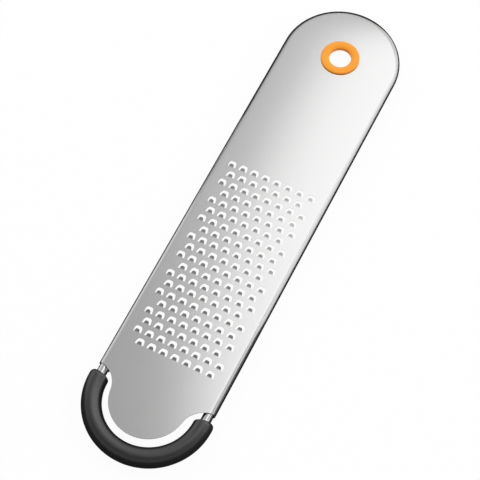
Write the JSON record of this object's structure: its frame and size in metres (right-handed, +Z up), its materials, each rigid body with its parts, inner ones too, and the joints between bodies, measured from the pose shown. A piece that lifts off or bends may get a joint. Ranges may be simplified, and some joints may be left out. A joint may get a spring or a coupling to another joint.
{
  "type": "fine grater",
  "caption": "Flat fine hand grater: a punched, crowned steel blade with its edge rolled round a wire hoop, a rubber grip on the hoop's lower bend and a plastic ring in the hanging hole.",
  "frame": {"origin": "under the middle of the grater, level with the underside of the grip", "axes": "+X across the blade, +Y along it towards the hanging hole, +Z up out of the grating face"},
  "size_m": [0.0702, 0.2942, 0.0111],
  "materials": {
    "blade_steel": "satin rolled stainless sheet",
    "wire_steel": "bright drawn stainless rod",
    "grip_rubber": "soft matt black rubber",
    "ring_plastic": "smooth orange moulded plastic"
  },
  "bodies": {
    "root": {"blade": "blade_steel", "frame_wire": "wire_steel", "grip": "grip_rubber", "hang_ring": "ring_plastic"}
  },
  "joints": []
}
